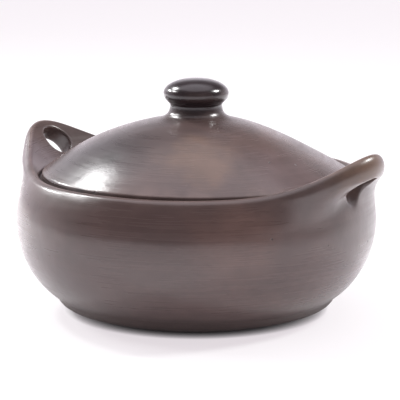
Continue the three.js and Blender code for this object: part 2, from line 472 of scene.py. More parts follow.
@dataclass(frozen=True)
class FingerHole:
    """A round hole through a lug, square to its own leaning axis, with soft edges."""

    radius: float = 13.3
    lean: float = 34.0
    centre: tuple[float, float, float] = (136.2, 0.0, 120.0)
    edge_round: float = 2.0

    def axis(self) -> Array:
        """Direction of the hole's axis, up and inwards."""
        lean = math.radians(self.lean)
        return np.array([-math.sin(lean), 0.0, math.cos(lean)])

    def local(self, points: Array) -> Array:
        """Points in the hole's own frame.

        Each is the offset from the hole's middle, measured along three square directions.

        Args:
            points: places by 3.

        Returns:
            Distances along the hole's slope, across it, and along its axis.
        """
        lean = math.radians(self.lean)
        slope = np.array([math.cos(lean), 0.0, math.sin(lean)])
        across = np.array([0.0, 1.0, 0.0])
        offset = points - np.array(self.centre)
        return np.stack([offset @ slope, offset @ across, offset @ self.axis()], -1)


@dataclass
class Pot:
    """The pot: foot, wall, rim with two pierced lugs, seat and inside, as one closed surface.

    The foot's and the crease's pairs of numbers are a radius and a height. Pairs named for
    heights, radii or a reach say where an effect starts and where it is full. A swell or lift
    is one slow wave round the pot: its size, how many times it comes round, its start, and its
    twist over the height.
    """

    columns: int = 400
    lower_steps: int = 50
    inner_steps: int = 56
    lower_turn_weight: float = 6.0
    inner_turn_weight: float = 4.0
    lug_density: float = 0.5
    belly_height: float = 72.0
    rim_radius: float = 125.5
    bore_radius: float = 122.2
    seat_drop: float = 4.7
    extra_drops: tuple[float, float] = (1.0, 0.3)
    foot_face: float = 80.0
    foot_round: tuple[Place, ...] = ((91.0, 0.6), (97.0, 4.2), (103.5, 6.0))
    foot_side: tuple[Place, ...] = ((107.6, 7.2), (109.2, 11.8))
    crease: Place = (109.8, 13.6)
    wall_start: float = 15.6
    wall_centre: float = 80.0
    lower_rise: float = 68.0
    wall_thickness: float = 8.5
    floor_thickness: float = 9.5
    mouth_radius: float = 113.0
    mouth_round: float = 1.6
    shelf_underside: float = 96.5
    # Below the upper height the clay turns raw, darker and rougher: unpolished under the foot, and
    # painted shade on the lowest wall.
    polish_and_shade_heights: Place = (2.0, 26.0)
    raw_rows: float = 7.0
    wear_rows: float = 2.6
    hole_wear: float = 0.1
    swells: tuple[tuple[float, ...], ...] = ((0.35, 3.0, 0.8, 0.0), (0.25, 5.0, 2.1, 2.0))
    lifts: tuple[tuple[float, ...], ...] = ((0.3, 2.0, 1.0, 0.0), (0.2, 7.0, 0.0, 0.0))
    swell_heights: Place = (0.05, 0.5)
    lift_heights: Place = (0.75, 1.0)
    lift_radii: Place = (116.0, 124.0)
    left_lug_reach: Place = (60.0, 100.0)
    left_lug_radius: float = 119.0
    left_lug_rise: float = 15.0
    left_lug_inset: float = 1.8
    left_lug_growth: float = 0.07
    patch_half_columns: int = 22
    patch_layers: int = 7
    patch_margin: float = 2.2
    patch_split: float = -6.0
    edge_layers: int = 5
    tube_layers: int = 6
    hole: FingerHole = field(default_factory=FingerHole)
    sections: tuple[PotSection, PotSection] = field(init=False)

    def __post_init__(self) -> None:
        """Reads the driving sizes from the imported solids, for the right and the left lug."""
        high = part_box("pot_bowl")[1]
        rim = high.z / MM
        self.sections = tuple(
            PotSection(
                belly_radius=high.y / MM, belly_height=self.belly_height,
                rim_radius=self.rim_radius, rim_height=rim, bore_radius=self.bore_radius,
                seat_height=rim - self.seat_drop, extra_drop=drop,
            )
            for drop in self.extra_drops
        )

    def lower_outside(self) -> Array:
        """Section from the middle of the foot to the belly.

        A flat face, a cubic round its edge, quadratics up the foot's side and through the
        crease, and a quarter ellipse for the wall.

        Returns:
            The path's evened points.
        """
        s = self.sections[0]
        reach = s.belly_radius - self.wall_centre
        start = math.degrees(math.asin((self.wall_start - s.belly_height) / self.lower_rise))
        middle = (self.wall_centre, s.belly_height)
        wall = arc(middle, (reach, self.lower_rise), start, 0.0, 120)
        t = np.linspace(0.0, 1.0, 40)
        flat = np.stack([np.linspace(0.0, self.foot_face, 30), np.zeros(30)], -1)
        under = bezier(((self.foot_face, 0.0), *self.foot_round), t)
        side = bezier((self.foot_round[-1], *self.foot_side), t)
        crease = bezier((side[-1], self.crease, wall[0]), t)
        path = np.concatenate([flat, under[1:], side[1:], crease[1:], wall[1:]])
        return evened(path, self.lower_steps, self.lower_turn_weight)

    def inside(self) -> Array:
        """Section from the seat's outer corner over the mouth to the middle of the floor.

        Quarter circles at the seat's corner and the mouth, then the wall's two ellipses, drawn
        in by the wall's thickness.

        Returns:
            The path's evened points.
        """
        s = self.sections[0]
        reach = s.belly_radius - self.wall_thickness - self.wall_centre
        cosine = (self.mouth_radius - self.wall_centre) / reach
        rise = (self.shelf_underside - s.belly_height) / math.sqrt(1 - cosine ** 2)
        start = math.degrees(math.acos(cosine))
        floor_radius = self.wall_centre - self.wall_thickness
        lower = (s.belly_radius - self.wall_thickness - floor_radius,
                 s.belly_height - self.floor_thickness)
        nook, lip = s.seat_corner, self.mouth_round
        parts = [
            arc((s.bore_radius - nook, s.seat_height + nook), (nook, nook), 0.0, -90.0, 12),
            arc((self.mouth_radius + lip, s.seat_height - lip), (lip, lip), 90.0, 180.0, 16),
            arc((self.wall_centre, s.belly_height), (reach, rise), start, 0.0, 60),
            arc((floor_radius, s.belly_height), lower, 0.0, -90.0, 100),
            np.array([[0.0, self.floor_thickness]]),
        ]
        return evened(np.concatenate(parts), self.inner_steps, self.inner_turn_weight)

    def directions(self) -> Array:
        """Directions of the columns, closer together at the lugs: u minus a share of sin 2u."""
        u = np.arange(self.columns) * (2 * np.pi / self.columns)
        return u - self.lug_density / 2 * np.sin(2 * u)

    @staticmethod
    def lug_angle(direction: Array) -> Array:
        """Degrees from the middle of the nearest lug."""
        return (np.degrees(direction) + 90.0) % 180.0 - 90.0

    @staticmethod
    def band_points(section: PotSection, angle: Array, step: Array) -> Array:
        """Points of a lug's band, turned to stand along +X: r cos, r sin and the height.

        Args:
            section: the lug's section.
            angle: degrees from the middle of the lug, one for each point.
            step: place along the band, one for each point.

        Returns:
            Points by 3.
        """
        place = section.points(angle, step[:, None])[:, 0]
        turn = np.radians(angle)
        return np.stack([place[:, 0] * np.cos(turn), place[:, 0] * np.sin(turn), place[:, 1]], -1)

    def build(self) -> bpy.types.Object:
        """Builds the closed surface and its finger holes, and hides the solids that it replaces.

        Returns:
            The pot.
        """
        lower, inner = self.lower_outside(), self.inside()
        directions = self.directions()
        angles = self.lug_angle(directions)
        band_steps = self.sections[0].steps
        steps = np.repeat(np.arange(band_steps + 1.0)[None], self.columns, 0)
        right = np.cos(directions) > 0.0
        band = np.empty((self.columns, band_steps + 1, 2))
        for section, side in zip(self.sections, (right, ~right)):
            band[side] = section.points(angles[side], steps[side])
        band = band.transpose(1, 0, 2)
        below, within = lower[1:-1], inner[1:-1]
        rows = [np.repeat(part[:, None], self.columns, 1) for part in (below, within)]
        grid = turned_points(np.concatenate([rows[0], band, rows[1]]), directions)
        polish_less_low_shade, wear = self.masks(below, band, within)
        quads = ring_quads(len(grid), self.columns)
        keep = np.ones(quads.shape[:2], bool)
        points = [grid.reshape(-1, 3)]
        holes: list[Array] = []
        total = len(points[0])
        for lug, section in enumerate(self.sections):
            made, faces = self.pierce(lug, section, directions, keep, len(below), total)
            points.append(made)
            polish_less_low_shade = np.append(polish_less_low_shade, np.ones(len(made)))
            wear = np.append(wear, np.full(len(made), self.hole_wear))
            holes.append(faces)
            total += len(made)
        points.append(np.array([[0.0, 0.0, lower[0, 1]], [0.0, 0.0, inner[-1, 1]]]))
        masks = {"polish_less_low_shade": np.append(polish_less_low_shade, (0.0, 0.0)), "wear": np.append(wear, (0.0, 0.0))}
        piece = made_mesh("pot", self.thrown(np.concatenate(points)),
                          np.concatenate([quads[keep], *holes]),
                          pole_fans(len(grid), self.columns, total), masks)
        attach(piece, "pot")
        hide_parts("pot_bowl", "handle_lug_right", "handle_lug_left")
        return piece

    def masks(self, below: Array, band: Array, within: Array) -> tuple[Array, Array]:
        """How polished and how worn each point of the grid is, from 0 to 1.

        Args:
            below: rows of the section below the band.
            band: the band's rows by columns.
            within: rows of the section inside.

        Returns:
            Polish, which fades under the foot, up the lowest wall as painted shade, and past the
            seat, and wear, which is a bell curve over the crest.
        """
        past_seat = np.arange(len(within), dtype=float)
        fade = [smoothstep(below[:, 1], *self.polish_and_shade_heights), np.ones(len(band)),
                1.0 - smoothstep(past_seat, 0.0, self.raw_rows)]
        polish_less_low_shade = np.repeat(np.concatenate(fade)[:, None], self.columns, 1)
        wear = np.zeros_like(polish_less_low_shade)
        from_crest = np.arange(len(band))[:, None] - np.argmax(band[..., 1], axis=0)
        wear[len(below):len(below) + len(band)] = bell(from_crest, self.wear_rows)
        return polish_less_low_shade.ravel(), wear.ravel()

    def thrown(self, points: Array) -> Array:
        """The small unevenness of a hand-built pot.

        Slow waves in radius above the foot and in height at the rim, each a size times the sine
        of the turn; and a left lug that stands further in and a little taller.

        Args:
            points: the even pot's points.

        Returns:
            The points, moved.
        """
        turn = np.arctan2(points[:, 1], points[:, 0])
        rim = self.sections[0].rim_height
        height, above = points[:, 2] / rim, points[:, 2] - rim
        radius = np.hypot(points[:, 0], points[:, 1])
        swell, lift = (
            sum(size * np.sin(count * turn + start + twist * height)
                for size, count, start, twist in waves)
            for waves in (self.swells, self.lifts)
        )
        left_lug = smoothstep(-points[:, 0], *self.left_lug_reach)
        left_lug = left_lug * (radius > self.left_lug_radius)
        outwards = swell * smoothstep(height, *self.swell_heights)
        inset = self.left_lug_inset * smoothstep(above, 0.0, self.left_lug_rise)
        outwards = outwards - left_lug * inset
        out = points.copy()
        out[:, :2] *= (1.0 + outwards / np.maximum(radius, 60.0))[:, None]
        at_rim = smoothstep(height, *self.lift_heights) * smoothstep(radius, *self.lift_radii)
        out[:, 2] += lift * at_rim
        out[:, 2] += left_lug * self.left_lug_growth * np.maximum(above, 0.0)
        return out

    def solve_ring(self, section: PotSection, radius: float, phi: Array, angle: Array,
                   step: Array) -> tuple[Array, Array]:
        """Finds where the lug's face lies at a radius and turns about the hole's axis.

        Newton's method on the two distances across the hole, for all places at once.

        Args:
            section: the lug's section.
            radius: distance from the hole's axis.
            phi: turns about the axis, in radians.
            angle: first guess of the lug angles in degrees.
            step: first guess of the band's steps.

        Returns:
            The angles and steps found.
        """
        want = radius * np.stack([np.cos(phi), np.sin(phi)], -1)
        small, rounds, most = 0.05, 12, 3.0

        def across(at_angle: Array, at_step: Array) -> Array:
            """The two distances across the hole at places on the band."""
            return self.hole.local(self.band_points(section, at_angle, at_step))[:, :2]

        for _ in range(rounds):
            here = across(angle, step)
            by_angle = (across(angle + small, step) - here) / small
            by_step = (across(angle, step + small) - here) / small
            miss = want - here
            det = by_angle[:, 0] * by_step[:, 1] - by_angle[:, 1] * by_step[:, 0]
            turn = (miss[:, 0] * by_step[:, 1] - miss[:, 1] * by_step[:, 0]) / det
            move = (by_angle[:, 0] * miss[:, 1] - by_angle[:, 1] * miss[:, 0]) / det
            angle = angle + np.clip(turn, -most, most)
            step = step + np.clip(move, -most, most)
        return angle, step

    def patch_rows(self, section: PotSection, side: int) -> tuple[int, int]:
        """First and last band row of the window around the hole on one face of a lug.

        Args:
            section: the lug's section.
            side: 0 for the outer face, 1 for the inner one.

        Returns:
            The two rows.
        """
        place = np.arange(section.steps + 1.0)
        points = self.band_points(section, np.zeros_like(place), place)
        slope, _, height = self.hole.local(points).T
        face = height < self.patch_split if side == 0 else height > self.patch_split
        crest = int(np.argmax(points[:, 2]))
        on_side = place < crest if side == 0 else place > crest
        reach = self.hole.radius + self.hole.edge_round + self.patch_margin
        near = np.flatnonzero(face & on_side & (np.abs(slope) < reach))
        return int(near.min()), int(near.max())

    def patch_windows(self, section: PotSection) -> list[tuple[int, int]]:
        """The windows on the outer and inner face, made equally tall.

        Args:
            section: the lug's section.

        Returns:
            First and last row of each.
        """
        windows = [self.patch_rows(section, side) for side in (0, 1)]
        tall = max(last - first for first, last in windows)
        starts = [first - (tall - (last - first)) // 2 for first, last in windows]
        return [(start, start + tall) for start in starts]

    def window_edge(self, first: int, last: int) -> tuple[Array, Array]:
        """The window's edge, once round from its first corner.

        Args:
            first: the window's first row.
            last: its last row.

        Returns:
            The rows and columns of the edge's places.
        """
        wide, tall = 2 * self.patch_half_columns, last - first
        rows = np.arange(first, last + 1)
        edge_rows = np.concatenate([
            np.full(wide, first), rows[:-1], np.full(wide, last), rows[:0:-1],
        ])
        edge_columns = np.concatenate([
            np.arange(0, wide), np.full(tall, wide), np.arange(wide, 0, -1),
            np.zeros(tall, int),
        ])
        return edge_rows, edge_columns

    def pierce(self, lug: int, section: PotSection, directions: Array, keep: Array,
               first_band_row: int, total: int) -> tuple[Array, Array]:
        """Cuts a window on each face of a lug and fills it up to and through the round hole.

        Each window's edge is joined to a circle on the same face by rings that slide evenly
        from one to the other in angle and step. A quadratic rounds the circle into the hole's
        wall, and straight rings join the two faces.

        Args:
            lug: 0 for the lug along +X, 1 for the one along -X.
            section: the lug's section.
            directions: the columns' directions in radians.
            keep: the grid's faces that stay, changed here.
            first_band_row: the grid's row where the band starts.
            total: number of points before the patch.

        Returns:
            The new points and the new faces.
        """
        middle = lug * self.columns // 2
        half = self.patch_half_columns
        columns = np.arange(-half, half + 1)
        angle = self.lug_angle(directions[(middle + columns) % self.columns])
        points: list[Array] = []
        faces: list[Array] = []
        mouths = []
        for side, (first, last) in enumerate(self.patch_windows(section)):
            edge_rows, edge_columns = self.window_edge(first, last)
            edge_angle, edge_step = angle[edge_columns], edge_rows.astype(float)
            where = self.hole.local(self.band_points(section, edge_angle, edge_step))
            phi = np.arctan2(where[:, 1], where[:, 0])
            order = np.arange(len(phi))
            if np.sum((np.diff(phi) + np.pi) % (2 * np.pi) - np.pi) < 0:
                order = order[::-1]
            order = np.roll(order, -int(np.argmin(phi[order])))
            edge_angle, edge_step, phi = edge_angle[order], edge_step[order], phi[order]
            number = (edge_rows[order] + first_band_row) * self.columns
            number = number + (middle + columns[edge_columns[order]]) % self.columns
            grid_rows = slice(first + first_band_row, last + first_band_row)
            keep[grid_rows, (middle + np.arange(-half, half)) % self.columns] = False
            centre, shrink = 0.5 * (first + last), 0.6
            ring_angle, ring_step = self.solve_ring(
                section, self.hole.radius + self.hole.edge_round, phi, edge_angle * shrink,
                np.full(len(phi), centre) + (edge_step - centre) * shrink)
            lip = self.band_points(section, *self.solve_ring(
                section, self.hole.radius, phi, ring_angle, ring_step))
            rings = [
                self.band_points(section, edge_angle + share * (ring_angle - edge_angle),
                                 edge_step + share * (ring_step - edge_step))
                for share in np.arange(1, self.patch_layers + 1) / self.patch_layers
            ]
            into = -self.hole.axis() if side == 1 else self.hole.axis()
            rounding = (rings[-1], lip, lip + self.hole.edge_round * into)
            rings += [bezier(rounding, np.full(len(phi), share))
                      for share in np.arange(1, self.edge_layers + 1) / self.edge_layers]
            start = total + sum(len(ring) for ring in points)
            numbers = [number]
            numbers += [start + i * len(phi) + np.arange(len(phi)) for i in range(len(rings))]
            points += rings
            faces += self.ring_faces(numbers)
            mouths.append((numbers[-1], rings[-1]))
        (lower_numbers, lower_ring), (upper_numbers, upper_ring) = mouths
        start = total + sum(len(ring) for ring in points)
        tube = [lower_numbers]
        for share in np.arange(1, self.tube_layers) / self.tube_layers:
            points.append(lower_ring + share * (upper_ring - lower_ring))
            tube.append(start + np.arange(len(lower_numbers)))
            start += len(lower_numbers)
        faces += self.ring_faces(tube + [upper_numbers])
        half_turn = np.array([-1.0, -1.0, 1.0]) if lug else np.ones(3)
        return np.concatenate(points) * half_turn, np.concatenate(faces)

    @staticmethod
    def ring_faces(numbers: list[Array]) -> list[Array]:
        """Four-sided faces between each ring of point numbers and the next."""
        return [np.stack([a, np.roll(a, -1), np.roll(b, -1), b], -1)
                for a, b in zip(numbers[:-1], numbers[1:])]


# ---------------------------------------------------------------- the lid


@dataclass
class Lid:
    """The lid: a thick dome with a flat lower edge, and its knob, as one closed surface.

    Most pairs of numbers are a radius and a height. The edge's side is two drops below the
    edge, the inner step a rise and a width, each wear a width and a strength, and pairs named
    for radii or heights say where an effect starts and where it is full.
    """

    columns: int = 256
    steps: int = 150
    turn_weight: float = 6.0
    dome_power: float = 1.88
    rise: float = 43.8
    edge_height: float = 108.0
    edge_round: float = 1.6
    edge_side: Place = (1.4, 0.1)
    shoulder_inset: float = 1.0
    inner_radius: float = 111.0
    inner_rise: float = 41.4
    inner_step: Place = (0.2, 2.0)
    dome_end: float = 34.0
    fillet_radius: float = 25.5
    fillet_lift: float = 0.2
    fillet_top: float = 151.4
    neck_radius: float = 20.3
    neck_height: float = 158.6
    undercut: tuple[Place, ...] = ((20.3, 161.2), (22.0, 161.6), (23.4, 163.4))
    bulb_start: Place = (25.2, 165.4)
    cap_height: float = 11.4
    cap_power: float = 0.9
    edge_wear: Place = (3.0, 0.6)
    knob_wear: Place = (3.5, 0.35)
    lean: float = 1.9
    lean_radii: Place = (26.0, 88.0)
    edge_radii: Place = (92.0, 119.0)
    edge_fade: float = 0.7
    lean_heights: Place = (1.0, 8.0)
    full_side: float = 213.0
    radius: float = field(init=False)
    bottom: float = field(init=False)
    bulb_radius: float = field(init=False)
    top: float = field(init=False)

    def __post_init__(self) -> None:
        """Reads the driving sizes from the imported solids."""
        dome_low, dome_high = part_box("lid_dome")
        knob_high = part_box("lid_knob")[1]
        self.radius = dome_high.x / MM
        self.bottom = dome_low.z / MM
        self.bulb_radius = knob_high.x / MM
        self.top = knob_high.z / MM

    def dome(self, radius: Array | float) -> Array | float:
        """Height of the dome: the edge plus the rise times one less the radius share's power."""
        return self.edge_height + self.rise * (1.0 - (radius / self.radius) ** self.dome_power)

    def path(self) -> Array:
        """The section, from the middle of the underside out, round the edge and up to the knob.

        The underside is a dome of its own. Arcs and quadratics round the edges, a cubic makes
        the fillet to the neck and another the undercut of the knob, and the knob's cap is the
        cosine's power across and the sine up.

        Returns:
            The path's evened points.
        """
        share = np.linspace(0.0, 1.0, 80)
        under = self.bottom + self.inner_rise * (1.0 - share ** self.dome_power)
        inner = np.stack([self.inner_radius * share, under], -1)[:-4]
        t = np.linspace(0.0, 1.0, 16)
        inner_edge = bezier([
            inner[-1], (self.inner_radius, self.bottom + self.inner_step[0]),
            (self.inner_radius + self.inner_step[1], self.bottom),
        ], t)
        curl = self.edge_round
        low_edge = arc((self.radius - curl, self.bottom + curl), (curl, curl), -90.0, 0.0, 12)
        shoulder = self.radius - self.shoulder_inset
        upper_edge = bezier([
            (self.radius, self.edge_height - self.edge_side[0]),
            (self.radius, self.edge_height - self.edge_side[1]),
            (shoulder, self.dome(shoulder)),
        ], t)
        outwards = np.linspace(shoulder, self.dome_end, 120)
        dome = np.stack([outwards, self.dome(outwards)], -1)
        fillet = bezier([
            dome[-1], (self.fillet_radius, self.dome(self.fillet_radius) + self.fillet_lift),
            (self.neck_radius, self.fillet_top), (self.neck_radius, self.neck_height),
        ], np.linspace(0.0, 1.0, 40))
        undercut = bezier([(self.neck_radius, self.neck_height), *self.undercut], t)
        bulb_height = self.top - self.cap_height
        low_bulb = bezier([
            self.undercut[-1], self.bulb_start, (self.bulb_radius, bulb_height),
        ], t)
        turn = np.radians(np.linspace(0.0, 90.0, 60))
        cap = np.stack([
            self.bulb_radius * np.cos(turn) ** self.cap_power,
            bulb_height + self.cap_height * np.sin(turn),
        ], -1)
        cap[-1, 0] = 0.0
        parts = [inner, inner_edge[1:], low_edge, upper_edge, dome[1:], fillet[1:],
                 undercut[1:], low_bulb[1:], cap[1:]]
        return evened(np.concatenate(parts), self.steps, self.turn_weight)

    def masks(self, rows: Array) -> dict[str, Array]:
        """How polished and how worn each point is: bell curves at the edge and round the knob.

        Args:
            rows: the section's points without its two ends.

        Returns:
            Polish and wear, from 0 to 1.
        """
        outside = np.arange(len(rows)) >= int(np.argmax(rows[:, 0]))
        bulb_height = self.top - self.cap_height
        wear = sum(
            most * bell(rows[:, 1] - height, width)
            for height, (width, most) in ((self.edge_height, self.edge_wear),
                                          (bulb_height, self.knob_wear))
        ) * outside
        return {
            "polish_less_low_shade": np.append(np.repeat(outside.astype(float), self.columns), (0.0, 1.0)),
            "wear": np.append(np.repeat(wear, self.columns), (0.0, 0.0)),
        }

    def build(self) -> bpy.types.Object:
        """Turns the section, adds the dome's hand-made lean, and hides the solids that it
        replaces.

        Returns:
            The lid.
        """
        path = self.path()
        rows = path[1:-1]
        directions = np.arange(self.columns) * (2 * np.pi / self.columns)
        grid = turned_points(rows, directions).reshape(-1, 3)
        poles = [[0.0, 0.0, path[0, 1]], [0.0, 0.0, path[-1, 1]]]
        piece = made_mesh("lid", self.hand_shaped(np.concatenate([grid, poles])),
                          ring_quads(len(rows), self.columns).reshape(-1, 4),
                          pole_fans(len(rows), self.columns, len(grid)), self.masks(rows))
        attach(piece, "lid")
        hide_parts("lid_dome", "lid_knob")
        return piece

    def hand_shaped(self, points: Array) -> Array:
        """Fuller on one side of the dome than the other.

        The lift is the lean times the cosine of the turn from the full side, faded out at the
        knob, the edge and the underside.

        Args:
            points: the even lid's points.

        Returns:
            The points, moved.
        """
        radius = np.hypot(points[:, 0], points[:, 1])
        turn = np.arctan2(points[:, 1], points[:, 0]) - math.radians(self.full_side)
        swell = smoothstep(radius, *self.lean_radii)
        swell = swell * (1.0 - self.edge_fade * smoothstep(radius, *self.edge_radii))
        above = smoothstep(points[:, 2] - self.bottom, *self.lean_heights)
        out = points.copy()
        out[:, 2] += self.lean * swell * above * np.cos(turn)
        return out


# ---------------------------------------------------------------- finishes


class NodeTree:
    """A thin hand on a shader node tree: adds nodes, sets their inputs and joins them."""

    def __init__(self, tree: bpy.types.NodeTree) -> None:
        """Wraps the tree."""
        self.tree = tree

    def feed(self, socket: bpy.types.NodeSocket, value: object) -> None:
        """Sets an input to a value, or joins it to the socket that feeds it.

        Args:
            socket: the input.
            value: a plain value or an output socket.
        """
        if isinstance(value, bpy.types.NodeSocket):
            self.tree.links.new(value, socket)
        else:
            socket.default_value = value

    def add(self, kind: str, inputs: dict | None = None, **settings: object) -> bpy.types.Node:
        """Adds a node.

        Args:
            kind: the node's type name without the ShaderNode prefix.
            inputs: socket name or number to a value or to the socket that feeds it.
            settings: the node's own properties.

        Returns:
            The node.
        """
        node = self.tree.nodes.new("ShaderNode" + kind)
        for name, value in settings.items():
            setattr(node, name, value)
        for name, value in (inputs or {}).items():
            self.feed(node.inputs[name], value)
        return node

    def math(self, operation: str, *values: object, clamp: bool = False) -> bpy.types.NodeSocket:
        """Result of a math node on these values or sockets."""
        node = self.add("Math", dict(enumerate(values)), operation=operation, use_clamp=clamp)
        return node.outputs[0]

    def times(self, first: object, second: object) -> bpy.types.NodeSocket:
        """First times second."""
        return self.math("MULTIPLY", first, second)

    def total(self, *terms: object) -> bpy.types.NodeSocket:
        """Adds up all the terms, from the left.

        Args:
            terms: values or sockets.

        Returns:
            The sum.
        """
        so_far = terms[0]
        for term in terms[1:]:
            so_far = self.math("ADD", so_far, term)
        return so_far

    def ranged(self, value: object, low: float, high: float, out_low: float = 0.0,
               out_high: float = 1.0, shape: str = "LINEAR") -> bpy.types.NodeSocket:
        """Carries a value from one range to another, held at the ends.

        Args:
            value: the value or socket.
            low: the value that gives out_low.
            high: the value that gives out_high.
            out_low: the result at low.
            out_high: the result at high.
            shape: LINEAR, or SMOOTHSTEP for 3t^2 - 2t^3 between the ends.

        Returns:
            The result.
        """
        return self.add("MapRange", {
            "Value": value, "From Min": low, "From Max": high, "To Min": out_low,
            "To Max": out_high,
        }, interpolation_type=shape).outputs[0]

    def mix(self, share: object, first: object, second: object) -> bpy.types.NodeSocket:
        """Colour between two others.

        Args:
            share: 0 for the first, 1 for the second.
            first: a colour or socket.
            second: a colour or socket.

        Returns:
            The colour.
        """
        node = self.add("Mix", data_type="RGBA")
        for number, value in ((0, share), (6, first), (7, second)):
            self.feed(node.inputs[number], value)
        return node.outputs[2]

    def noise(self, place: bpy.types.NodeSocket, scale: object, detail: float,
              roughness: float = 0.5) -> bpy.types.NodeSocket:
        """Noise at a place.

        Args:
            place: the coordinates.
            scale: repeats per metre.
            detail: octaves past the first.
            roughness: how much each octave keeps of the one before.

        Returns:
            The noise, about 0.5.
        """
        return self.add("TexNoise", {
            "Vector": place, "Scale": scale, "Detail": detail, "Roughness": roughness,
        }).outputs[0]


class Shade(Enum):
    """Named clay colours, as linear red, green, blue and alpha."""

    BODY = (0.076, 0.048, 0.043, 1.0)
    BODY_DARK = (0.054, 0.036, 0.033, 1.0)
    LID = (0.096, 0.060, 0.052, 1.0)
    LID_DARK = (0.062, 0.042, 0.039, 1.0)
    KNOB = (0.008, 0.004, 0.006, 1.0)
    AMBER = (0.165, 0.094, 0.052, 1.0)
    RED = (0.108, 0.060, 0.048, 1.0)
    SMOKE = (0.034, 0.030, 0.033, 1.0)
    SOOT = (0.014, 0.010, 0.010, 1.0)
    RAW_AND_LOW_SHADE = (0.050, 0.034, 0.030, 1.0)
    WORN = (0.165, 0.115, 0.102, 1.0)
    # Greyish lilac for painted sheen: lightens places as if they reflected the bright surround.
    PAINTED_SHEEN = (0.150, 0.118, 0.128, 1.0)


def new_group(name: str, inputs: dict[str, tuple[str, object]],
              outputs: Sequence[str]) -> tuple[NodeTree, dict, dict]:
    """Starts a shader node group.

    Args:
        name: the group's name.
        inputs: socket name to its type and default value.
        outputs: names of the numbers that it puts out.

    Returns:
        The tree, its input sockets by name and its output node's sockets by name.
    """
    group = bpy.data.node_groups.new(name, "ShaderNodeTree")
    for label, (kind, value) in inputs.items():
        socket = group.interface.new_socket(label, in_out="INPUT", socket_type="NodeSocket" + kind)
        if value is not None:
            socket.default_value = value
    for label in outputs:
        group.interface.new_socket(label, in_out="OUTPUT", socket_type="NodeSocketFloat")
    source = group.nodes.new("NodeGroupInput")
    sink = group.nodes.new("NodeGroupOutput")
    return NodeTree(group), dict(source.outputs.items()), dict(sink.inputs.items())


class ClayEffects:
    """The shader node groups that both clays share."""

    def __init__(self) -> None:
        """Builds every group once."""
        self.strokes = self.build_strokes()
        self.mark = self.build_mark()
        self.pits = self.build_pits()
        self.firing = self.build_firing()

    @staticmethod
    def build_strokes() -> bpy.types.NodeTree:
        """Burnishing strokes, drawn out round the upright axis.

        Noise in four numbers: the direction's cosine and sine, which change slowly, and the
        height and the distance from the axis, which change fast, so the streaks run level on
        every slope. The fine strokes are the same at a faster pace.

        Returns:
            The group.
        """
        tree, given, gives = new_group(
            "burnishing strokes",
            {"Vector": ("Vector", None), "Round": ("Float", 1.7), "Fineness": ("Float", 230.0)},
            ("Broad", "Fine"),
        )
        x, y, height = tree.add("SeparateXYZ", {0: given["Vector"]}).outputs
        squares = tree.total(tree.math("POWER", x, 2.0), tree.math("POWER", y, 2.0))
        far = tree.math("SQRT", squares)
        reach = tree.math("MAXIMUM", far, 0.004)
        for label, around, up in (("Broad", 1.0, 1.0), ("Fine", 1.7, 4.0)):
            turn = tree.times(given["Round"], around)
            pace = tree.times(given["Fineness"], up)
            place = tree.add("CombineXYZ", {
                0: tree.times(tree.math("DIVIDE", x, reach), turn),
                1: tree.times(tree.math("DIVIDE", y, reach), turn),
                2: tree.times(height, pace),
            })
            noise = tree.add("TexNoise", {
                "Vector": place.outputs[0], "W": tree.times(far, pace),
                "Scale": 1.0, "Detail": 1.4, "Roughness": 0.5,
            }, noise_dimensions="4D")
            tree.feed(gives[label], noise.outputs[0])
        return tree.tree

    @staticmethod
    def build_mark() -> bpy.types.NodeTree:
        """A cloud of colour, for fire marks and for patches of painted sheen: one less the
        distance over the size, frayed by noise.

        Returns:
            The group.
        """
        tree, given, gives = new_group(
            "fire and sheen mark",
            {"Vector": ("Vector", None), "Centre": ("Vector", (0.0, 0.0, 0.0)),
             "Size": ("Float", 0.03), "Fray": ("Float", 0.5)},
            ("Mask",),
        )
        away = tree.add("VectorMath", {0: given["Vector"], 1: given["Centre"]},
                        operation="DISTANCE").outputs["Value"]
        noise = tree.noise(given["Vector"], 34.0, 4.0, 0.55)
        ragged = tree.times(tree.math("SUBTRACT", noise, 0.5), given["Fray"])
        far = tree.math("DIVIDE", away, given["Size"])
        inside = tree.math("SUBTRACT", tree.total(1.0, ragged), far)
        tree.feed(gives["Mask"], tree.ranged(inside, 0.0, 0.8, shape="SMOOTHSTEP"))
        return tree.tree

    @staticmethod
    def build_pits() -> bpy.types.NodeTree:
        """Pits where grit has fallen out: round marks in a few cells of a Voronoi pattern.

        Returns:
            The group.
        """
        tree, given, gives = new_group(
            "pits", {"Vector": ("Vector", None), "Rarity": ("Float", 0.95)}, ("Pits",),
        )
        cells = tree.add("TexVoronoi", {"Vector": given["Vector"], "Scale": 95.0}, feature="F1")
        chosen = tree.add("SeparateColor", {0: cells.outputs["Color"]}).outputs[0]
        rare = tree.math("GREATER_THAN", chosen, given["Rarity"])
        near = tree.ranged(cells.outputs["Distance"], 0.05, 0.12, 1.0, 0.0, "SMOOTHSTEP")
        tree.feed(gives["Pits"], tree.times(near, rare))
        return tree.tree

    @staticmethod
    def build_firing() -> bpy.types.NodeTree:
        """Uneven firing: broad patches of noise in place, and finer mottling.

        Returns:
            The group.
        """
        tree, given, gives = new_group(
            "uneven firing",
            {"Vector": ("Vector", None), "Broad Scale": ("Float", 9.0),
             "Fine Scale": ("Float", 70.0)},
            ("Broad", "Mottle"),
        )
        for label, scale in (("Broad", "Broad Scale"), ("Mottle", "Fine Scale")):
            tree.feed(gives[label], tree.noise(given["Vector"], given[scale], 4.0))
        return tree.tree


@dataclass(frozen=True)
class FireAndSheenMark:
    """One cloud of colour, used for fire marks and for patches of painted sheen: its middle and
    size in millimetres, colour and strength.
    """

    centre: tuple[float, float, float]
    size: float
    shade: Shade
    strength: float
    fray: float = 0.9


